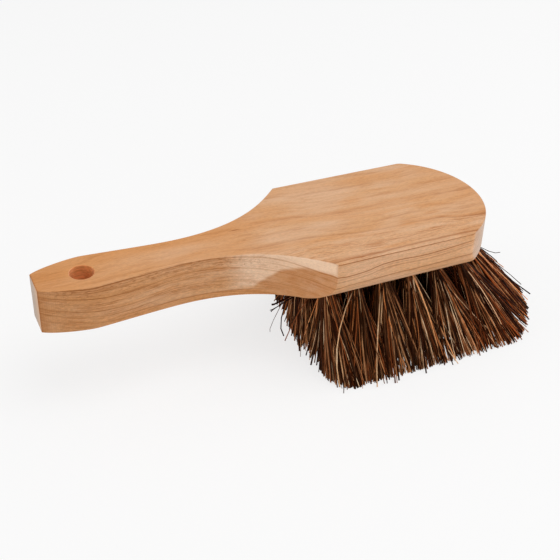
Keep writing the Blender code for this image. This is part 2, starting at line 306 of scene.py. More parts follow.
class Nodes:
    """The node tree of a material or world. Most calls add nodes and return their main output."""

    def __init__(self, owner):
        owner.use_nodes = True
        self.owner = owner
        self.tree = owner.node_tree

    def set(self, socket, value):
        if isinstance(value, bpy.types.NodeSocket):
            self.tree.links.new(value, socket)
        else:
            socket.default_value = value

    def add(self, kind, inputs=(), output=0, **settings):
        node = self.tree.nodes.new(kind)
        for name, value in settings.items():
            setattr(node, name, value)
        for name, value in dict(inputs).items():
            self.set(node.inputs[name], value)
        return node.outputs[output]

    def maths(self, operation, a, b=0.0):
        return self.add("ShaderNodeMath", {0: a, 1: b}, operation=operation)

    def times(self, product, *factors):
        for factor in factors:
            product = self.maths("MULTIPLY", product, factor)
        return product

    def plus(self, total, *others):
        for other in others:
            total = self.maths("ADD", total, other)
        return total

    def minus(self, a, b):
        return self.maths("SUBTRACT", a, b)

    def rest(self, share):
        """What a share leaves of 1."""
        return self.minus(1.0, share)

    def vector(self, operation, a, b):
        return self.add("ShaderNodeVectorMath", {0: a, 1: b}, operation=operation)

    def length(self, vector):
        return self.add("ShaderNodeVectorMath", {0: vector}, "Value", operation="LENGTH")

    def between(self, value, low, high, to_low=0.0, to_high=1.0, smooth=True):
        """A number that goes from to_low to to_high as value goes from low to high."""
        kind = "SMOOTHSTEP" if smooth else "LINEAR"
        inputs = {"Value": value, "From Min": low, "From Max": high}
        inputs.update({"To Min": to_low, "To Max": to_high})
        return self.add("ShaderNodeMapRange", inputs, interpolation_type=kind)

    def window(self, value, rise, fall):
        """A number that grows as value goes through one range and falls as it goes through another."""
        return self.times(self.between(value, *rise), self.between(value, *fall))

    def noise(self, place, stretch, detail, roughness=0.5, distortion=0.0):
        inputs = {"Vector": self.vector("MULTIPLY", place, stretch), "Scale": 1.0}
        inputs.update({"Detail": detail, "Roughness": roughness, "Distortion": distortion})
        return self.add("ShaderNodeTexNoise", inputs)

    def mix(self, share, a, b, blend="MIX"):
        inputs = {"Factor": share, 6: a, 7: b}
        return self.add("ShaderNodeMix", inputs, 2, data_type="RGBA", blend_type=blend)

    def ramp(self, value, stops):
        node = self.tree.nodes.new("ShaderNodeValToRGB")
        points = node.color_ramp.elements
        while len(points) < len(stops):
            points.new(1.0)
        for point, (place, colour) in zip(points, sorted(stops)):
            point.position = place
            point.color = colour
        self.set(node.inputs["Fac"], value)
        return node.outputs["Color"]

    def surface(self, colour, pattern, rough, relief, bump, **others):
        """The material, now that its shader has a colour, a roughness from pattern and bumps from relief."""
        bumps = {"Height": relief, "Strength": bump[0], "Distance": bump[1]}
        others["Base Color"] = colour
        others["Roughness"] = self.between(pattern, *rough, smooth=False)
        others["Normal"] = self.add("ShaderNodeBump", bumps)
        for name, value in others.items():
            self.set(self.tree.nodes["Principled BSDF"].inputs[name], value)
        return self.owner

    def parts(self, vector):
        """The three numbers of a vector."""
        return self.add("ShaderNodeSeparateXYZ", {0: vector}, slice(None))

    def dim(self, colour, level):
        """A colour times a number."""
        grey = self.add("ShaderNodeCombineXYZ", {"X": level, "Y": level, "Z": level})
        return self.mix(1.0, colour, grey, "MULTIPLY")

    def blob(self, place, centre, size):
        """1 at centre, falling to 0 at the edge of an egg of these half sizes."""
        away = self.vector("DIVIDE", self.vector("SUBTRACT", place, centre), size)
        return self.between(self.length(away), 1.0, BLOB_CORE)


# Wood: the outline, finer than the frame's


def curve_points(start, end, start_slope, end_slope, shares, steps):
    """A cubic curve from start to end, whose tangents reach shares of its length in x."""
    start_pull, end_pull = (share * (end[0] - start[0]) for share in shares)
    handles = (
        start,
        (start[0] + start_pull, start[1] + start_pull * start_slope),
        (end[0] - end_pull, end[1] - end_pull * end_slope),
        end,
    )
    t = np.linspace(0, 1, steps + 1)[:, None]
    weights = np.hstack(((1 - t) ** 3, 3 * (1 - t) ** 2 * t, 3 * (1 - t) * t**2, t**3))
    return weights @ np.array(handles)


def handle_side():
    """The handle's half width from its end to the shoulder, as points (x, y)."""
    places = (END, SWELL, WAIST, (SHOULDER, BLOCK_HALF_WIDTH))
    slopes = (math.tan(END_ANGLE), 0, 0, math.tan(SHOULDER_ANGLE))
    ends = zip(places, places[1:], slopes, slopes[1:], HANDLE_SHARES, HANDLE_STEPS)
    runs = [curve_points(*run) for run in ends]
    return np.vstack((runs[0][:-1], runs[1][:-1], runs[2]))


def inset_handle(ease, limit):
    """The handle's side moved in by ease, from the eased end to where it meets y = limit."""
    side = handle_side()
    slope = np.gradient(side[:, 1], side[:, 0])
    length = np.hypot(1, slope)
    inner = side + ease * np.column_stack((slope / length, -1 / length))
    flare = side[:, 0] >= WAIST[0]
    end = np.interp(limit, inner[flare, 1], inner[flare, 0])
    shares = side[:, 0] / SHOULDER
    x = ease + shares * (end - ease)
    y = np.interp(x, inner[:, 0], inner[:, 1])
    y[-1] = limit
    return [tuple(point) for point in np.column_stack((x, y))]


def half_outline(ease, side_inset, nose_inset):
    """One side of the outline, from the end of the handle to the tip of the nose."""
    side = BLOCK_HALF_WIDTH - side_inset
    nose = NOSE_RADIUS - nose_inset
    corner = max(NOSE_CORNER_RADIUS - min(side_inset, nose_inset), LEAST_CORNER_RADIUS)
    turn_y = side - corner
    turn_angle = math.asin(turn_y / (nose - corner))
    turn_x = NOSE_CENTRE + (nose - corner) * math.cos(turn_angle)
    handle = inset_handle(ease, side)
    end = softened((handle[0][0], 0), handle[0], handle[1], CORNER_EASE, SOFT_STEPS)
    shoulder = softened(handle[-2], handle[-1], (turn_x, side), CORNER_EASE, SOFT_STEPS)
    run = [p for p in handle[1:-1] if end[-1][0] < p[0] < shoulder[0][0]]
    half = end + spread(run, len(handle) - 4) + shoulder
    for i in range(CORNER_STEPS):
        angle = math.pi / 2 + (turn_angle - math.pi / 2) * i / CORNER_STEPS
        half.append((turn_x + corner * math.cos(angle), turn_y + corner * math.sin(angle)))
    for i in range(NOSE_STEPS // 2):
        angle = turn_angle * (1 - 2 * i / NOSE_STEPS)
        half.append((NOSE_CENTRE + nose * math.cos(angle), nose * math.sin(angle)))
    return half, (NOSE_CENTRE + nose, 0)


def spread(points, count):
    """The same run of points, set again at count even steps of x."""
    x, y = np.array(points).T
    even = np.linspace(x[0], x[-1], count)
    return list(zip(even, np.interp(even, x, y)))


def plan_loop(ease, side_inset, nose_inset, z):
    """The outline at height z: the handle moved in by ease, the block's sides and nose by their own."""
    half, tip = half_outline(ease, side_inset, nose_inset)
    other = [(x, -y) for x, y in reversed(half)]
    return [(x, y, z) for x, y in half + [tip] + other]


def quarter_inset(depth, radius):
    """How far a quarter-round edge is in from the side, at a depth below its face."""
    if depth >= radius:
        return 0.0
    return radius - math.sqrt(radius**2 - (radius - depth) ** 2)


def quarter_depths(radius, steps):
    return [radius * (1 - math.cos(math.pi / 2 * i / steps)) for i in range(steps + 1)]


def wood_loops():
    """Outlines from the top face down, eased at the top and rounded over below."""
    eases = quarter_depths(EDGE_EASE, EASE_STEPS)
    rounds = [d for d in quarter_depths(ROUND_OVER, ROUND_OVER_STEPS) if d > EDGE_EASE]
    straight = THICKNESS - ROUND_OVER - EDGE_EASE
    sides = [EDGE_EASE + straight * i / (SIDE_STEPS + 1) for i in range(1, SIDE_STEPS + 1)]
    depths = eases + sides + [THICKNESS - d for d in reversed(eases + rounds)]
    loops = []
    for depth in depths:
        top = quarter_inset(depth, EDGE_EASE)
        edges = (EDGE_EASE, ROUND_OVER, NOSE_ROUND_OVER)
        insets = [max(top, quarter_inset(THICKNESS - depth, edge)) for edge in edges]
        loops.append(plan_loop(*insets, -depth))
    return loops


def hang_hole_cutter():
    """A round bar that flares where it leaves the wood, so that the hole's rims come out eased."""
    flare = [(OVERRUN, HANG_HOLE_RADIUS + HANG_HOLE_EASE)]
    for depth in quarter_depths(HANG_HOLE_EASE, EASE_STEPS):
        flare.append((-depth, HANG_HOLE_RADIUS + quarter_inset(depth, HANG_HOLE_EASE)))
    stations = flare + [(-THICKNESS - z, radius) for z, radius in reversed(flare)]
    loops = [
        ring(Vector((HANG_HOLE_FROM_END, 0, z)), radius, HANG_HOLE_SIDES, AHEAD, ASIDE)
        for z, radius in stations
    ]
    return skinned_object("cut_hang_hole", loops)


def build_wood(places):
    cutters = bpy.data.collections.new("wood_cutters")
    bars = [hang_hole_cutter()]
    for label, (mouth, _) in places.items():
        out, crown, square = tuft_axes(mouth)
        ends = (mouth - out * HOLE_DEPTH, mouth + out * OVERRUN)
        loops = [ring(end, HOLE_RADIUS, HOLE_SIDES, crown, square) for end in ends]
        bars.append(skinned_object(f"cut_hole_{label}", loops))
    for bar in bars:
        cutters.objects.link(bar)
    wood = skinned_object("hardwood_block_and_handle", wood_loops())
    cut = wood.modifiers.new("holes", "BOOLEAN")
    cut.operand_type = "COLLECTION"
    cut.collection = cutters
    cut.solver = "EXACT"
    apply_modifiers(wood)
    for bar in bars:
        bpy.data.objects.remove(bar, do_unlink=True)
    smooth(wood, CREASE)
    weigh = wood.modifiers.new("flat_faces_stay_flat", "WEIGHTED_NORMAL")
    weigh.keep_sharp = True
    apply_modifiers(wood)
    return wood


# Layout of the tufts, as in the frame


def forward_share(x):
    """0 where the fibres begin to lean forward, 1 at the last tuft."""
    return max(0.0, (x - LEAN_START) / (LAST_TUFT - LEAN_START))


def lean_at(x, y):
    """The slope of a fibre at a place on the block: how far it leans for each metre down."""
    forward = forward_share(x)
    corner = max(0.0, 1 - (x - FIRST_TUFT) / BACK_LEAN_REACH) * max(0.0, y) / OUTER_ROW
    return Vector((
        math.tan(NOSE_LEAN) * forward**LEAN_POWER + math.tan(BACK_LEAN) * corner,
        math.tan(SIDE_LEAN) * y / OUTER_ROW,
        0,
    ))


def tuft_places():
    """Every tuft's name, with its place on the block's underside and its row's pitch."""
    places = {}
    for index, (row, count) in enumerate(ROW_COUNTS.items()):
        y = ROW_PITCH * (index - (len(ROW_COUNTS) - 1) / 2)
        start = FIRST_TUFT + (TUFT_PITCH / 2 if index % 2 else 0)
        end = NOSE_CENTRE + math.sqrt(max(0.0, (NOSE_RADIUS - NOSE_MARGIN) ** 2 - y**2))
        pitch = (end - start) / (count - 1)
        for i in range(count):
            places[f"{row}{i + 1}"] = (Vector((start + pitch * i, y, -THICKNESS)), pitch)
    return places


def tuft_axes(mouth):
    """Down the hole's axis and out, along the staple's crown, and square to both."""
    lean = lean_at(mouth.x, mouth.y)
    out = (lean + DOWN).normalized()
    crown = out.cross(DOWN)
    crown = crown.normalized() if crown.length > 0 else AHEAD
    return out, crown, out.cross(crown)


# Fibres


def in_fan(place):
    """Whether a fibre may aim here: at the block's underside, some way in from its edge."""
    nose = math.hypot(max(0.0, place.x - NOSE_CENTRE), place.y) < NOSE_RADIUS - FAN_NOSE_MARGIN
    gaps = (place.x - (FIRST_TUFT - FAN_BACK), BLOCK_HALF_WIDTH - FAN_MARGIN - abs(place.y))
    into_corner = [max(0.0, FAN_CORNER_RADIUS - gap) for gap in gaps]
    return nose and min(gaps) > 0 and math.hypot(*into_corner) < FAN_CORNER_RADIUS


def disc_spot(rng):
    """A place chosen evenly within the unit disc."""
    radius = math.sqrt(rng.random())
    angle = 2 * math.pi * rng.random()
    return Vector((radius * math.cos(angle), radius * math.sin(angle), 0))


def fibre_tip(mouth, pitch, root, rng):
    """Where a fibre's tip is: the tufts fan out until they meet, and all of it leans out."""
    spot = (root - mouth) / ROOT_RADIUS
    spot = spot.lerp(disc_spot(rng), CROSSING_SHARE)
    spot *= spot.length / max(abs(spot.x), abs(spot.y))
    fan = Vector((spot.x * pitch, spot.y * ROW_PITCH, 0))
    from_middle = Vector((max(0.0, mouth.x - NOSE_CENTRE), mouth.y, 0)) / OUTER_ROW
    aim = mouth + fan + from_middle * from_middle.length * OUTWARD
    while not in_fan(aim):
        aim = aim.lerp(FAN_CENTRE, FAN_STEP_SHARE)
    return aim + (lean_at(aim.x, aim.y) + DOWN) * TRIM_LENGTH


def fibre_end(mouth, pitch, axes, spot, rng):
    """The points of one loose end, from the mouth of the hole to the trimmed tip."""
    _, crown, square = axes
    root = mouth + crown * spot[0] + square * spot[1]
    tip = fibre_tip(mouth, pitch, root, rng)
    scatter = STRAY_SCATTER if rng.random() < STRAY_SHARE else TIP_SCATTER
    for i in (0, 1):
        tip[i] += min(max(rng.normal(0, scatter), -STRAY_REACH), STRAY_REACH)
    most = MOST_SHORT + (MOST_SHORT_AT_NOSE - MOST_SHORT) * forward_share(mouth.x) ** 3
    short = VERY_SHORT if rng.random() < SHORT_SHARE else most
    tip += (root - tip) * (short * rng.random() ** 2 / TRIM_LENGTH)
    bow, twist = (Vector((rng.normal(0, BOW), rng.normal(0, BOW), 0)) for _ in range(2))
    points = []
    for i in range(FIBRE_STEPS + 1):
        t = i / FIBRE_STEPS
        swing = bow * (4 * t * (1 - t)) + twist / 2 * math.sin(2 * math.pi * t)
        points.append(root.lerp(tip, t) + swing)
    return points


def loose_path(mouth, axes, middle, tip):
    """A loose fibre's way, from its fold through its middle place to its tip."""
    middle, tip = Vector(middle), Vector(tip)
    pull = middle * 2 - (mouth + tip) / 2
    return [mouth - axes[0] * CROWN_DEPTH] + pulled(mouth, pull, tip, FIBRE_STEPS)


def fold_points(mouth, axes, first, second):
    """The fibre's way round the staple's crown, between its two places at the mouth."""
    out, crown, square = axes
    reach = FOLD_THICKNESS + WIRE_RADIUS
    level = mouth - out * CROWN_DEPTH
    along = (first[0] + second[0]) / 2 * CROWN_HALF_LENGTH / ROOT_RADIUS / 2
    radius = WIRE_RADIUS + CLEARANCE + (reach - WIRE_RADIUS) * abs(first[1]) / ROOT_RADIUS
    radius = min(radius, reach)
    points = []
    for i in range(FOLD_STEPS):
        angle = math.pi * i / (FOLD_STEPS - 1)
        swing = square * (radius * math.cos(angle))
        points.append(level + crown * along + swing - out * (radius * math.sin(angle)))
    return points


def root_spots(rng):
    """Two places at the mouth of the hole, one on each side of the staple."""
    spots = []
    for side in (1, -1):
        radius = (ROOT_RADIUS - FIBRE_RADIUS) * math.sqrt(rng.random())
        angle = math.pi * rng.random()
        spots.append((radius * math.cos(angle), side * radius * math.sin(angle)))
    return spots


def tube_points(path, radii, turn):
    """Rings of points round a path, carried along it without twisting."""
    path = np.array(path)
    ahead = np.gradient(path, axis=0)
    ahead /= np.linalg.norm(ahead, axis=1)[:, None]
    side = np.cross(ahead[0], TUBE_SEAM)
    rings = []
    angles = turn + 2 * math.pi * np.arange(FIBRE_SIDES) / FIBRE_SIDES
    for place, way, radius in zip(path, ahead, radii):
        side = side - way * side.dot(way)
        side /= np.linalg.norm(side)
        other = np.cross(way, side)
        around = np.outer(np.cos(angles), side) + np.outer(np.sin(angles), other)
        rings.append(place + radius * around)
    return np.vstack(rings)


def folded_paths(mouth, pitch, axes, rng):
    """The path, radius and tone of every fibre of a tuft, each folded over the staple."""
    for _ in range(PAIRS + round(NOSE_PAIRS * forward_share(mouth.x))):
        first, second = root_spots(rng)
        near = fibre_end(mouth, pitch, axes, first, rng)
        far = fibre_end(mouth, pitch, axes, second, rng)
        path = near[::-1] + fold_points(mouth, axes, first, second) + far
        tone = rng.random()
        thick = FIBRE_RADIUS * math.exp(rng.normal(0, FIBRE_RADIUS_SPREAD))
        thick *= DARK_RADIUS_SHARE + (PALE_RADIUS_SHARE - DARK_RADIUS_SHARE) * tone
        thick = min(max(thick, LEAST_FIBRE_RADIUS), MOST_FIBRE_RADIUS)
        yield path, thick, tone, np.abs(np.linspace(-1, 1, len(path)))


def loose_paths(label, mouth, axes):
    """The same for the tuft's loose fibres, which have one end each."""
    for tuft, middle, tip, thick, tone in LOOSE_FIBRES:
        if tuft == label:
            path = loose_path(mouth, axes, middle, tip)
            yield path, thick, tone, np.linspace(0, 1, len(path))


def build_tuft(label, mouth, pitch, rng):
    """All of a tuft's fibres in one mesh."""
    axes = tuft_axes(mouth)
    points, faces, tones, ways = [], [], [], []
    count = 0
    fibres = list(folded_paths(mouth, pitch, axes, rng)) + list(loose_paths(label, mouth, axes))
    for path, thick, tone, way in fibres:
        wobble = 1 + rng.normal(0, FIBRE_WOBBLE_SHARE, len(path))
        radii = thick * (1 - FIBRE_TAPER_SHARE * way) * wobble
        tube = tube_points(path, radii, rng.random() * math.pi)
        tube[:, 2] = np.maximum(tube[:, 2], -STAND_HEIGHT)
        points.append(tube)
        faces += tube_faces(count, len(path), FIBRE_SIDES)
        count += len(tube)
        tones += [tone] * len(tube)
        ways += list(np.repeat(way, FIBRE_SIDES))
    item = mesh_object(f"fibre_tuft_{label}", np.vstack(points) + np.array(ORIGIN), faces)
    smooth(item, FIBRE_CREASE)
    for name, values in (("fibre_tone", tones), ("fibre_way", ways)):
        layer = item.data.attributes.new(name, "FLOAT", "POINT")
        layer.data.foreach_set("value", np.array(values, np.float32))
    return item


# Staples


def staple_path(mouth, axes):
    """The staple's centre line, with its two bends rounded."""
    out, crown, _ = axes
    side = crown * CROWN_HALF_LENGTH
    top = mouth - out * CROWN_DEPTH
    foot = mouth - out * LEG_DEPTH
    corners = (foot - side, top - side, top + side, foot + side)
    points = [corners[0]]
    for before, corner, after in zip(corners, corners[1:], corners[2:]):
        points += softened(before, corner, after, BEND_RADIUS, BEND_STEPS)
    return points + [corners[-1]]


def build_staple(label, mouth):
    axes = tuft_axes(mouth)
    out, crown, square = axes
    path = staple_path(mouth, axes)
    loops = []
    for i, place in enumerate(path):
        before, after = path[max(i - 1, 0)], path[min(i + 1, len(path) - 1)]
        way = (after - before).normalized()
        loops.append(ring(place, WIRE_RADIUS, WIRE_SIDES, way.cross(square), square))
    item = skinned_object(f"wire_staple_{label}", loops)
    smooth(item, WIRE_CREASE)
    return item


# Materials

BLACK = (0, 0, 0, 1)
WOOD = tint(214, 159, 109)
PALE_WOOD = tint(219, 175, 138)
ORANGE_WOOD = tint(210, 145, 86)
BROWN_WOOD = tint(178, 110, 52)
LATE_WOOD = tint(196, 130, 70)
RING_LINE = tint(148, 78, 10)
# Painted pale sheen over the end grain: the end's far and near sides, and the nose
FAR_END_PAINTED_SHEEN = tint(186, 168, 153)
NEAR_END_PAINTED_SHEEN = tint(212, 176, 144)
NOSE_PAINTED_SHEEN = tint(185, 163, 147)
# Painted pale sheen on the flare below the shoulders and in the near side's patch
FLARE_PAINTED_SHEEN = tint(243, 208, 176)
BORE = tint(248, 168, 106)

# The rings are sheets that slope down towards -Y. Each is given by its height
# above the top face on the centre line, and how dark it is.
RING_SLOPE = 0.32
UPPER_RING = 0.0035
LOWER_RING = -0.0020
RINGS = (
    (0.0102, 1.0),
    (UPPER_RING, 1.0),
    (0.0024, 0.3),
    (0.0012, 0.45),
    (LOWER_RING, 0.7),
    (-0.0048, 0.25),
    (-0.0081, 0.5),
    (-0.0108, 0.3),
    (-0.0140, 0.35),
)
RING_LOW = -0.019
RING_HIGH = 0.015
BAND_FADE = 0.0019
LINE_FADE = 0.0006
RING_EDGE = 0.00016
# How UPPER_RING and LOWER_RING wave: places as shares of the overall length, and heights in metres.
# The upper one waves some more at the block's near side.
UPPER_WAVE = (
    (0.0, -0.0010), (0.10, -0.0003), (0.30, -0.0012), (0.37, -0.0009), (0.48, 0.0), (0.54, -0.0002),
    (0.64, 0.0008), (0.72, 0.0016), (0.84, 0.0019), (0.92, 0.0031), (1.0, 0.0035),
)
NEAR_SIDE_WAVE = (
    (0.0, 0.0), (0.54, 0.0), (0.573, 0.0006), (0.60, -0.0001), (0.63, -0.0003), (0.685, 0.0010),
    (0.715, 0.0011), (0.78, 0.0004), (0.826, 0.0006), (0.868, 0.0008), (1.0, 0.0),
)
LOWER_WAVE = (
    (0.0, 0.0022), (0.06, 0.0010), (0.10, 0.0002), (0.14, -0.0009), (0.18, -0.0013), (0.22, -0.0010),
    (0.26, -0.0002), (0.30, -0.0002), (0.47, -0.0004), (0.57, -0.0001), (0.61, 0.0007), (0.66, 0.0010),
    (0.75, 0.0012), (0.86, 0.0014), (0.90, 0.0010), (1.0, 0.0010),
)
WAVE_REACH = 0.01
NEAR_SIDE_Y = (-0.027, -0.032)
UPPER_WAVE_FADES = (0.010, 0.007)
SLOW_WAVE, SLOW_NOISE = 0.0008, ((16, 40, 40), 2.0)
QUICK_WAVE, QUICK_NOISE = 0.0004, ((90, 160, 160), 2.0)
SAW_MARK_PITCH = 0.0008
ARRIS_WIDTH = 0.0008

# Paler places in the wood, under its rings: their places, half sizes and how strong they are
PALE_PLACES = (
    ((0.1320, 0.0210, 0.0), (0.0300, 0.0200, 0.0060), 0.60),
    ((0.0520, 0.0010, 0.0), (0.0330, 0.0050, 0.0020), 0.20),
    ((0.1500, -0.0280, 0.0), (0.0500, 0.0100, 0.0020), 0.50),
    ((0.1500, -0.0336, -0.0070), (0.0500, 0.0040, 0.0130), 0.28),
)
# Marks over the rings, with their colours
MARKS = (
    ((0.1742, -0.0116, 0.0), (0.0075, 0.0016, 0.0012), 0.80, LATE_WOOD),
    ((0.1603, -0.0164, 0.0), (0.0085, 0.0012, 0.0012), 0.65, ORANGE_WOOD),
    ((0.1462, -0.0293, 0.0), (0.0150, 0.0018, 0.0016), 0.70, ORANGE_WOOD),
    ((0.1464, 0.0107, 0.0), (0.0110, 0.0048, 0.0030), 0.45, ORANGE_WOOD),
    ((0.0881, 0.0067, 0.0), (0.0036, 0.0006, 0.0012), 1.0, RING_LINE),
    ((0.0040, 0.0000, 0.0), (0.0170, 0.0140, 0.0030), 0.70, LATE_WOOD),
)


def waved(n, share, wave):
    """The height of a wave along the wood, in metres."""
    node = n.tree.nodes.new("ShaderNodeFloatCurve")
    curve = node.mapping.curves[0]
    while len(curve.points) < len(wave):
        curve.points.new(0.5, 0.5)
    for point, (place, height) in zip(curve.points, wave):
        point.location = (place, 0.5 + height / WAVE_REACH)
    node.mapping.update()
    n.set(node.inputs["Value"], share)
    return n.times(n.minus(node.outputs[0], 0.5), WAVE_REACH)


def ring_height(n, place, x, y, z):
    """Each point's height as the rings count it: the same all over a ring, with its slope and waves."""
    flat = n.minus(z, n.times(y, RING_SLOPE))
    share = n.maths("DIVIDE", x, OVERALL_LENGTH)
    near_side = n.times(waved(n, share, NEAR_SIDE_WAVE), n.between(y, *NEAR_SIDE_Y))
    upper = n.plus(waved(n, share, UPPER_WAVE), near_side)
    upper = n.times(upper, n.between(flat, *UPPER_WAVE_FADES, smooth=False))
    lower = waved(n, share, LOWER_WAVE)
    rise = n.between(flat, LOWER_RING, UPPER_RING, smooth=False)
    wave = n.plus(lower, n.times(rise, n.minus(upper, lower)))
    slow = n.minus(n.noise(place, *SLOW_NOISE), 0.5)
    quick = n.minus(n.noise(place, *QUICK_NOISE), 0.5)
    wave = n.minus(wave, n.times(slow, SLOW_WAVE))
    wave = n.minus(wave, n.times(quick, QUICK_WAVE))
    return n.minus(flat, wave)


def ring_strength(n, height, fade):
    """0 in the pale early wood, rising over the length fade to each ring and ending sharply above it."""
    span = RING_HIGH - RING_LOW
    stops = [(0.0, BLACK)]
    for ring_at, strength in RINGS:
        spot = (ring_at - RING_LOW) / span
        stops += [(spot - fade / span, BLACK), (spot + RING_EDGE / span, BLACK)]
        stops.append((spot, (strength, strength, strength, 1)))
    share = n.between(height, RING_LOW, RING_HIGH, smooth=False)
    return n.add("ShaderNodeSeparateColor", {0: n.ramp(share, stops)})


def sheet_noise(n, x, height, stretch, detail, roughness):
    """Noise that runs along the rings: stretch is its scale along the wood and across the rings."""
    parts = {"X": n.times(x, stretch[0]), "Y": n.times(height, stretch[1])}
    flat = n.add("ShaderNodeCombineXYZ", parts)
    inputs = {"Vector": flat, "Scale": 1.0, "Detail": detail, "Roughness": roughness}
    return n.add("ShaderNodeTexNoise", inputs)


def pencil_lines(n, x, height, stretch, width):
    """Thin lines along the rings, where a noise crosses its middle value."""
    pattern = sheet_noise(n, x, height, stretch, *THREAD_NOISE)
    return n.between(n.maths("ABSOLUTE", n.minus(pattern, 0.5)), 0.0, width, 1.0, 0.0)


def shaken(n, colour, pattern, raw, least, more):
    """A colour made darker where a noise is high and paler where it's low, most of all where raw is 1."""
    swing = n.times(n.minus(0.5, pattern), n.plus(least, n.times(raw, more)))
    return n.dim(colour, n.plus(swing, 1.0))


def lessened(n, level, losses):
    """A level that loses a share of itself in each of some parts of the wood."""
    for part, loss in losses:
        level = n.times(level, n.rest(n.times(part, loss)))
    return level


WARM_END = (0.048, 0.0, 0.0, 0.85)
WARM_FAR_EDGE = (0.12, 0.07, 0.0, 0.8)
FAR_EDGE_Y = (0.002, 0.009)
WARM_NOSE = (0.180, OVERALL_LENGTH, 0.0, 0.35)
WARMEST = 0.8


def warmth(n, x, y):
    """How much more orange the wood is: at the handle's end, along its far edge and at the nose."""
    edge = n.times(n.between(y, *FAR_EDGE_Y), n.between(x, *WARM_FAR_EDGE))
    total = n.plus(n.between(x, *WARM_END), n.between(x, *WARM_NOSE), edge)
    return n.maths("MINIMUM", total, WARMEST)


# The top's rings break up, apart from the stretch where they're KEPT. LOSSES are shares that go.
KEPT = ((0.090, 0.098), (0.150, 0.125, 0.3, 0.6))
GAPS = (0.58, 0.42)
HANDLE_TOP = (0.10, 0.075)
BLOCK_SIDE = (0.110, 0.120)
RING_LOSSES = (0.5, 0.35)
BAND_LEVEL, BAND_LOSS_TOP = 0.32, 0.12
THREAD_NOISE = (3.0, 0.65)
BROAD_THREADS = ((9, 620), 0.028)
THIN_THREADS = ((22, 1500), 0.05)
BROAD_LEVEL = 0.8
THREADS_BREAK = (0.38, 0.62, 0.15, 0.9)
THREAD_LOSSES = (0.6, 0.3, 0.5, 0.5)
LINES_AT_END = (0.030, 0.050, 1.1, 0.62)
LINES_GAINED_AT_SIDE = (0.190, 0.160, 0.15, 0.45)
LINES_LOST_ON_TOP = (0.12, 0.14, 0.3, 0.15)


def ringed(n, colour, x, height, faces, sheen_patch, broken):
    """The colour with the rings in it: broad bands, dark lines, and threads between them.

    On the top face the cut runs nearly along the rings, so they're faint and broken there.
    """
    top, plain, side = faces
    gaps = n.times(n.between(broken, *GAPS), n.rest(n.window(x, *KEPT)))
    handle_top = n.times(top, n.between(x, *HANDLE_TOP))
    block_side = n.times(side, n.between(x, *BLOCK_SIDE))
    # The rings and threads fade under the painted sheen patch
    whole = lessened(n, n.rest(n.times(plain, gaps)), zip((handle_top, sheen_patch), RING_LOSSES))
    bands = n.times(ring_strength(n, height, BAND_FADE), whole)
    bands = n.times(bands, n.minus(BAND_LEVEL, n.times(top, BAND_LOSS_TOP)))
    colour = n.mix(bands, colour, LATE_WOOD)
    broad = pencil_lines(n, x, height, *BROAD_THREADS)
    thin = pencil_lines(n, x, height, *THIN_THREADS)
    threads = n.maths("MAXIMUM", n.times(broad, BROAD_LEVEL), thin)
    threads = n.times(threads, n.between(broken, *THREADS_BREAK))
    threads = lessened(n, threads, zip((plain, handle_top, block_side, sheen_patch), THREAD_LOSSES))
    colour = n.mix(threads, colour, BROWN_WOOD)
    lines = n.times(ring_strength(n, height, LINE_FADE), whole)
    gained = n.times(block_side, n.between(x, *LINES_GAINED_AT_SIDE))
    level = n.minus(gained, n.times(plain, n.between(x, *LINES_LOST_ON_TOP)))
    level = n.plus(level, n.between(x, *LINES_AT_END))
    return n.mix(n.times(lines, level), colour, RING_LINE)


# The strip's and its line's edges, as heights above the underside
STRIP_EDGE = (0.0031, 0.0028)
STRIP_LINE = ((0.0026, 0.0028), (0.0033, 0.0029))
STRIP_ALONG = ((0.02, 0.04), (0.10, 0.09))
STRIP_LEVEL, STRIP_LINE_LEVEL = 0.6, 0.45


def lower_edge(n, colour, x, z, side):
    """The colour with the orange strip along the lower edge of the handle, and the line over it."""
    rise = n.plus(z, THICKNESS)
    here = n.times(side, n.window(x, *STRIP_ALONG))
    strip = n.times(n.between(rise, *STRIP_EDGE), here)
    colour = n.mix(n.times(strip, STRIP_LEVEL), colour, ORANGE_WOOD)
    line = n.times(n.window(rise, *STRIP_LINE), here)
    return n.mix(n.times(line, STRIP_LINE_LEVEL), colour, RING_LINE)


# The painted sheen patch's lower edge rises steeply, and then less so
PATCH_STEEP = (0.0885, 0.0985, -0.0160, -0.0078)
PATCH_FLAT = (0.0985, 0.1065, 0.0, 0.0027)
PATCH_SOFT = (-0.0012, 0.0012)
PATCH_ALONG = ((0.0740, 0.0880), (0.1175, 0.1165))
PATCH_Y = (-0.002, -0.008)
SHEEN_PATCH_LEVEL = 0.8


def painted_sheen_patch(n, x, y, z, side):
    """The painted pale sheen on the near side, where the handle begins to widen."""
    steep = n.between(x, *PATCH_STEEP, smooth=False)
    edge = n.plus(steep, n.between(x, *PATCH_FLAT, smooth=False))
    above = n.between(n.minus(z, edge), *PATCH_SOFT)
    return n.times(above, n.window(x, *PATCH_ALONG), n.times(side, n.between(y, *PATCH_Y)))


# How far the surface faces back, forward or up: where a tone begins and where it is whole
FLARE_FACING = (0.25, 0.6)
END_FACING = (0.85, 0.97)
NOSE_FACING = (0.2, 0.75, 0.0, 0.9)
ROUGH_FACING = (-0.25, -0.5, 0.0, 0.7)
TOP_FACING = (0.4, 0.9)
FLARE_FROM = (0.06, 0.09)
FLARE_HEIGHT = (UPPER_RING, UPPER_RING + RING_EDGE * 3)
END_SHEEN_Y = (-0.005, 0.002)
# Levels of the painted shade and painted sheen on the flare, of the dark line at the end's edges, and of the
# painted sheen on the end
FLARE_SHADE_LEVEL, FLARE_SHEEN_LEVEL, ARRIS_LEVEL, END_SHEEN_LEVEL = 0.45, 0.5, 0.5, 0.9


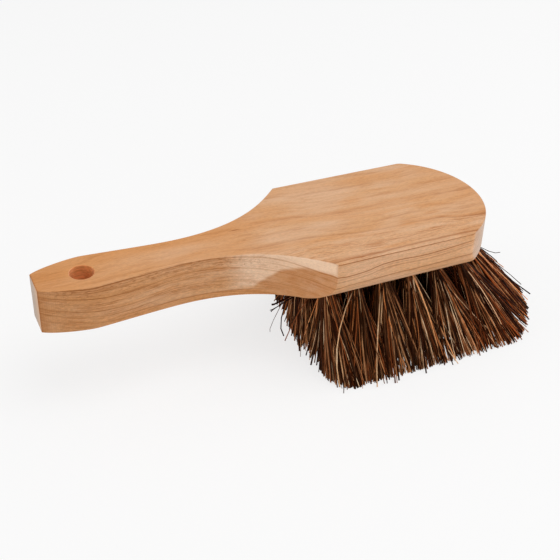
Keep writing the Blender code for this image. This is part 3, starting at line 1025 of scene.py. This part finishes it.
def cut_across(n, colour, place, facing, height, sheen_patch):
    """The colour where the saw crossed the grain, with painted light by which way the surface faces: painted
    shade and painted pale sheen on the flare below the shoulders, a dark line along the end's edges, and
    painted pale sheen over the end grain of the end and the nose.
    """
    x, y, _ = n.parts(place)
    back = n.times(facing[0], -1.0)
    flare = n.between(back, *FLARE_FACING)
    above = n.between(height, *FLARE_HEIGHT)
    # Painted shade on the flare, which faces back, outside the sheen patch
    flare_shade = n.times(flare, n.rest(sheen_patch))
    colour = n.mix(n.times(flare_shade, FLARE_SHADE_LEVEL), colour, BROWN_WOOD)
    # Painted pale sheen on the flare, above the upper ring
    flare_sheen = n.times(flare, above, n.between(x, *FLARE_FROM))
    colour = n.mix(n.times(flare_sheen, FLARE_SHEEN_LEVEL), colour, FLARE_PAINTED_SHEEN)
    end = n.between(back, *END_FACING)
    arris = n.times(n.between(x, ARRIS_WIDTH, 0.0), n.rest(end))
    colour = n.mix(n.times(arris, ARRIS_LEVEL), colour, RING_LINE)
    # Painted pale sheen over the end grain of the end, greyer at its far side
    end_sheen = n.mix(n.between(y, *END_SHEEN_Y), NEAR_END_PAINTED_SHEEN, FAR_END_PAINTED_SHEEN)
    colour = n.mix(n.times(end, END_SHEEN_LEVEL), colour, end_sheen)
    # Painted pale sheen over the nose's end grain
    return n.mix(n.between(facing[0], *NOSE_FACING), colour, NOSE_PAINTED_SHEEN)


# Noises: their scale along the wood, across it and up, their detail, roughness and distortion
MOTTLE = ((26, 95, 95), 4.0, 0.55, 0.4)
CLOUD = ((30, 130, 130), 2.0, 0.5)
STREAKS = ((45, 900, 900), 4.0, 0.6)
BREAKS = ((60, 350, 350), 2.0, 0.5)
FINE_GRAIN = ((560, 1700, 1700), 2.0, 0.7)
PORES = ((330, 2300, 2300), 1.0, 0.5)
BANDS = ((5, 260), 3.0, 0.6)

PLAIN_Y = (-0.026, -0.012)
MOTTLE_EDGE = (0.3, 0.72)
BANDS_EDGE = (0.42, 0.72)
BANDS_LEVEL, BANDS_LOSS_SIDE = 0.7, 0.3
WARM_LOSS_SIDE = 0.5
WARM_HANDLE_SIDE = (0.12, 0.09, 0.0, 0.25)
WARM_CLOUDS = (0.35, 0.65, 1.15, 0.6)
BESIDE_RING = (UPPER_RING + 0.0014, UPPER_RING)
BESIDE_TO = (0.10, 0.08)
BESIDE_LEVEL = 0.45
MARK_STREAKS = (0.25, 0.6)
RUBBED_TOP = 0.55
STREAK_DEPTHS, FINE_DEPTHS = (0.08, 0.16), (0.12, 0.6)
FLECKED_HEIGHT = ((LOWER_RING, 0.0), (0.004, UPPER_RING))
FLECKED_TO = (0.12, 0.09)
FLECKED_ELSEWHERE = (0.6, 0.4, 0.0, 0.4)
PORE_EDGE = (0.57, 0.66)
FLECK_LEVEL = 0.5
SAW_MARKS = (0.016, 0.004)
SAW_MARK_DEPTH = 0.035
# Painted shade and light on the side faces, along x
SIDE_PAINTED_LIGHT = (0.0, 0.14, -0.08, 0.12)
BORE_STREAKS = (0.35, 0.65, 0.0, 0.6)
BORE_LEVEL = 0.85
WOOD_ROUGHNESS = (0.2, 0.8, 0.5, 0.64)
GRAIN_RELIEF, FLECK_RELIEF = 0.6, 0.5
WOOD_BUMP = (0.25, 0.0002)
WOOD_SHINE = 0.3


def in_hang_hole(n, place):
    """1 in the bore of the hanging hole, 0 outside its rim."""
    from_bore = n.vector("SUBTRACT", place, (HANG_HOLE_FROM_END, 0, 0))
    from_bore = n.vector("MULTIPLY", from_bore, (1, 1, 0))
    return n.between(n.length(from_bore), HANG_HOLE_RADIUS + HANG_HOLE_EASE, HANG_HOLE_RADIUS)


def wood_material():
    n = Nodes(bpy.data.materials.new("hardwood_surface"))
    seen = n.tree.nodes.new("ShaderNodeTexCoord")
    place = n.vector("SUBTRACT", seen.outputs["Object"], ORIGIN)
    x, y, z = n.parts(place)
    facing = n.parts(seen.outputs["Normal"])
    top = n.between(facing[2], *TOP_FACING)
    plain = n.times(top, n.between(y, *PLAIN_Y))
    side = n.rest(top)
    height = ring_height(n, place, x, y, z)
    mottle, cloud, streak = (n.noise(place, *noise) for noise in (MOTTLE, CLOUD, STREAKS))
    broken, fine, pores = (n.noise(place, *noise) for noise in (BREAKS, FINE_GRAIN, PORES))

    colour = n.mix(n.between(mottle, *MOTTLE_EDGE), WOOD, PALE_WOOD)
    bands = n.between(sheet_noise(n, x, height, *BANDS), *BANDS_EDGE)
    banded = n.minus(BANDS_LEVEL, n.times(side, BANDS_LOSS_SIDE))
    colour = n.mix(n.times(bands, banded), colour, ORANGE_WOOD)
    warm = lessened(n, warmth(n, x, y), ((side, WARM_LOSS_SIDE),))
    warm = n.plus(warm, n.times(side, n.between(x, *WARM_HANDLE_SIDE)))
    colour = n.mix(n.times(warm, n.between(cloud, *WARM_CLOUDS)), colour, ORANGE_WOOD)
    beside = n.times(n.between(height, *BESIDE_RING), top)
    beside = n.times(beside, n.between(x, *BESIDE_TO))
    colour = n.mix(n.times(beside, BESIDE_LEVEL), colour, ORANGE_WOOD)
    colour = lower_edge(n, colour, x, z, side)
    for centre, size, strength in PALE_PLACES:
        colour = n.mix(n.times(n.blob(place, centre, size), strength), colour, PALE_WOOD)
    sheen_patch = painted_sheen_patch(n, x, y, z, side)
    # Painted pale sheen on the near side, where the handle widens
    colour = n.mix(n.times(sheen_patch, SHEEN_PATCH_LEVEL), colour, FLARE_PAINTED_SHEEN)
    colour = ringed(n, colour, x, height, (top, plain, side), sheen_patch, broken)
    for centre, size, strength, mark in MARKS:
        share = n.times(n.blob(place, centre, size), n.between(streak, *MARK_STREAKS))
        colour = n.mix(n.times(share, strength), colour, mark)
    colour = cut_across(n, colour, place, facing, height, sheen_patch)

    across = n.between(facing[0], *ROUGH_FACING)
    raw = n.rest(n.maths("MAXIMUM", n.times(plain, RUBBED_TOP), across))
    colour = shaken(n, colour, streak, raw, *STREAK_DEPTHS)
    colour = shaken(n, colour, fine, raw, *FINE_DEPTHS)
    flecked = n.times(n.window(height, *FLECKED_HEIGHT), n.times(side, n.between(x, *FLECKED_TO)))
    flecked = n.maths("MAXIMUM", flecked, n.between(mottle, *FLECKED_ELSEWHERE))
    fleck = n.times(n.between(pores, *PORE_EDGE), flecked, n.rest(across))
    colour = n.mix(n.times(fleck, FLECK_LEVEL), colour, RING_LINE)
    saw = n.maths("SINE", n.times(x, 2 * math.pi / SAW_MARK_PITCH))
    saw = n.times(saw, n.times(n.between(x, *SAW_MARKS), side), SAW_MARK_DEPTH)
    colour = n.dim(colour, n.plus(saw, 1.0))
    # Painted shade and light on the side faces: darker towards the handle's end, lighter at the block
    level = n.times(side, n.between(x, *SIDE_PAINTED_LIGHT, smooth=False))
    colour = n.dim(colour, n.plus(level, 1.0))
    bore = n.mix(n.between(streak, *BORE_STREAKS), BORE, BROWN_WOOD)
    colour = n.mix(n.times(in_hang_hole(n, place), BORE_LEVEL), colour, bore)

    relief = n.plus(n.times(fine, GRAIN_RELIEF), n.times(streak, GRAIN_RELIEF))
    relief = n.minus(relief, n.times(fleck, FLECK_RELIEF))
    shine = {"Specular IOR Level": WOOD_SHINE}
    return n.surface(colour, streak, WOOD_ROUGHNESS, relief, WOOD_BUMP, **shine)


# The fibres: noises, and what changes along the frame's x, from the back of the bristles to the front
ALONG_NOISE = ((350, 350, 90), 3.0, 0.6)
GRAIN_NOISE = ((3800, 3800, 500), 2.0, 0.6)
ALONG_DEPTH = 0.35
MIDDLE_TONE = 0.45
TONES_SPREAD = (0.02, 0.09, 1.0, 1.2)
FIBRE_COLOURS = {
    0.0: (34, 13, 3), 0.28: (53, 26, 9), 0.5: (91, 56, 32), 0.68: (140, 89, 55),
    0.82: (181, 129, 87), 0.92: (221, 175, 130), 1.0: (244, 214, 177),
}
# How many times the fibres' hue goes from brown to orange over the range of their tones
HUES = 37.0
HUE_EDGE = (0.45, 0.8, 0.0, 0.8)
ORANGE_CAST = tint(255, 196, 140)
FRONT_CAST = tint(250, 216, 192)
FRONT = (0.04, 0.1)
# Painted light that makes the fibres at the back paler, where the block shades them
BACK_PAINTED_LIGHT = (0.02, -0.005, 1.0, 1.15)
GRAIN_LEVEL = (0.3, 0.75, 1.1, 0.75)
# Painted shade near the fibres' roots: its colour, and the span of fibre_way it covers
ROOTS_PAINTED_SHADE = tint(38, 16, 5)
ROOTS_SHADE_REACH = (0.5, 0.2, 0.0, 0.35)
FIBRE_ROUGHNESS = (0.2, 0.8, 0.55, 0.75)
FIBRE_BUMP = (0.3, 0.00005)
FIBRE_SHINE = 0.08
FIBRE_SHINE_TINT = tint(255, 224, 196)


def fibre_material():
    n = Nodes(bpy.data.materials.new("palm_fibre_surface"))
    tone = n.add("ShaderNodeAttribute", output="Fac", attribute_name="fibre_tone")
    way = n.add("ShaderNodeAttribute", output="Fac", attribute_name="fibre_way")
    place = n.add("ShaderNodeTexCoord", output="Object")
    x = n.parts(place)[0]
    along = n.noise(place, *ALONG_NOISE)
    grain = n.noise(place, *GRAIN_NOISE)
    mixed = n.plus(tone, n.times(n.minus(along, 0.5), ALONG_DEPTH))
    from_middle = n.times(n.minus(mixed, MIDDLE_TONE), n.between(x, *TONES_SPREAD))
    stops = [(tone_at, tint(*shown)) for tone_at, shown in FIBRE_COLOURS.items()]
    colour = n.ramp(n.plus(from_middle, MIDDLE_TONE), stops)
    hue = n.maths("FRACT", n.times(tone, HUES))
    colour = n.mix(n.between(hue, *HUE_EDGE), colour, ORANGE_CAST, "MULTIPLY")
    colour = n.mix(n.between(x, *FRONT), colour, FRONT_CAST, "MULTIPLY")
    # Painted light: the fibres at the back, in the block's shadow, made paler
    colour = n.dim(colour, n.between(x, *BACK_PAINTED_LIGHT))
    colour = n.dim(colour, n.between(grain, *GRAIN_LEVEL))
    # Painted shade on the fibres at the block and inside the holes
    colour = n.mix(n.between(way, *ROOTS_SHADE_REACH), colour, ROOTS_PAINTED_SHADE)
    shine = {"Specular IOR Level": FIBRE_SHINE, "Specular Tint": FIBRE_SHINE_TINT}
    return n.surface(colour, grain, FIBRE_ROUGHNESS, grain, FIBRE_BUMP, **shine)


DRAWN_NOISE = ((2500, 2500, 300), 3.0, 0.6)
SPOTS_NOISE = ((700, 700, 700), 2.0, 0.5)
SPOTS_EDGE = (0.4, 0.7)
BRIGHT_STEEL = tint(188, 188, 186)
DULL_STEEL = tint(140, 137, 132)
STEEL_ROUGHNESS = (0.2, 0.8, 0.25, 0.45)
STEEL_BUMP = (0.2, 0.00002)


def steel_material():
    n = Nodes(bpy.data.materials.new("staple_wire_surface"))
    place = n.add("ShaderNodeTexCoord", output="Object")
    drawn = n.noise(place, *DRAWN_NOISE)
    colour = n.mix(n.between(n.noise(place, *SPOTS_NOISE), *SPOTS_EDGE), BRIGHT_STEEL, DULL_STEEL)
    return n.surface(colour, drawn, STEEL_ROUGHNESS, drawn, STEEL_BUMP, Metallic=1.0)


# Surroundings

WHITE = (1, 1, 1, 1)
FLOOR_COLOUR = (0.9, 0.9, 0.9, 1)
FLOOR_HALF = 3.0
FLOOR_GLOW = (0.5, 2.5, 0.72, 1.0)
WORLD_LIGHT = 0.5
# Each lamp's place, its side and its power
LAMPS = {
    "overhead": ((0.2, -0.4, 1.3), 1.0, 7),
    "left_fill": ((-1.2, 0.2, 0.4), 0.8, 4),
    "right_fill": ((1.2, -0.2, 0.4), 0.8, 5),
}


def seen_share(n):
    """1 on rays from the camera and on those that a mirror or glass sends on, else 0."""
    rays = n.tree.nodes.new("ShaderNodeLightPath").outputs
    sent_on = n.maths("MAXIMUM", rays["Is Glossy Ray"], rays["Is Transmission Ray"])
    return n.maths("MAXIMUM", rays["Is Camera Ray"], sent_on)


def build_floor():
    corners = [(x * FLOOR_HALF, y * FLOOR_HALF, 0) for x, y in ((-1, -1), (1, -1), (1, 1), (-1, 1))]
    floor = mesh_object("floor", corners, [(0, 1, 2, 3)])
    n = Nodes(bpy.data.materials.new("pale_floor"))
    n.tree.nodes.clear()
    away = n.length(n.add("ShaderNodeTexCoord", output="Object"))
    share = n.times(seen_share(n), n.between(away, *FLOOR_GLOW, smooth=False))
    matte = n.add("ShaderNodeBsdfDiffuse", {"Color": FLOOR_COLOUR})
    glow = n.add("ShaderNodeEmission", {"Color": WHITE})
    out = n.tree.nodes.new("ShaderNodeOutputMaterial")
    n.set(out.inputs["Surface"], n.add("ShaderNodeMixShader", {0: share, 1: matte, 2: glow}))
    floor.data.materials.append(n.owner)
    floor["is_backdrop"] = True


def build_world():
    n = Nodes(bpy.data.worlds.new("studio"))
    bpy.context.scene.world = n.owner
    back = n.tree.nodes["Background"]
    n.set(back.inputs["Color"], WHITE)
    n.set(back.inputs["Strength"], n.between(seen_share(n), 0.0, 1.0, WORLD_LIGHT, smooth=False))


def build_lamp(name, place, size, power):
    data = bpy.data.lights.new(name, "AREA")
    data.shape = "SQUARE"
    data.size = size
    data.energy = power
    lamp = link(bpy.data.objects.new(name, data))
    lamp.location = place
    lamp.rotation_mode = "QUATERNION"
    target = Vector((0, 0, STAND_HEIGHT / 2))
    lamp.rotation_quaternion = (target - Vector(place)).to_track_quat("-Z", "Y")


def build_camera():
    data = bpy.data.cameras.new("photo_camera")
    data.sensor_width = SENSOR_MM
    data.lens = FOCAL_PIXELS / PHOTO_PIXELS * SENSOR_MM
    data.clip_start, data.clip_end = CAMERA_CLIP
    camera = link(bpy.data.objects.new("photo_camera", data))
    ahead = Vector((
        math.sin(CAMERA_YAW) * math.cos(CAMERA_PITCH),
        math.cos(CAMERA_YAW) * math.cos(CAMERA_PITCH),
        -math.sin(CAMERA_PITCH),
    ))
    right = Vector((math.cos(CAMERA_YAW), -math.sin(CAMERA_YAW), 0))
    down = ahead.cross(right)
    turned_right = right * math.cos(CAMERA_ROLL) + down * math.sin(CAMERA_ROLL)
    turned_down = down * math.cos(CAMERA_ROLL) - right * math.sin(CAMERA_ROLL)
    axes = Matrix((turned_right, -turned_down, -ahead)).transposed()
    camera.matrix_world = Matrix.Translation(CAMERA_PLACE + ORIGIN) @ axes.to_4x4()
    bpy.context.scene.camera = camera


def finish_piece(item, material, node):
    item.data.materials.clear()
    item.data.materials.append(material)
    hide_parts(node)
    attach(item, BODY)


def main():
    places = tuft_places()
    wood_look, fibre_look, steel_look = wood_material(), fibre_material(), steel_material()
    finish_piece(build_wood(places), wood_look, "block_and_handle")
    rng = np.random.default_rng(SEED)
    for label, (mouth, pitch) in places.items():
        tuft = build_tuft(label, mouth, pitch, rng)
        finish_piece(tuft, fibre_look, f"tuft_{label}")
        finish_piece(build_staple(label, mouth), steel_look, f"staple_{label}")
    build_floor()
    build_world()
    for name, lamp in LAMPS.items():
        build_lamp(name, *lamp)
    build_camera()
    bpy.context.scene.view_settings.view_transform = "Standard"


main()

boxes = {"cad_box": cad_box, "visual_box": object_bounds()}
{name: [list(corner) for corner in box] for name, box in boxes.items()}
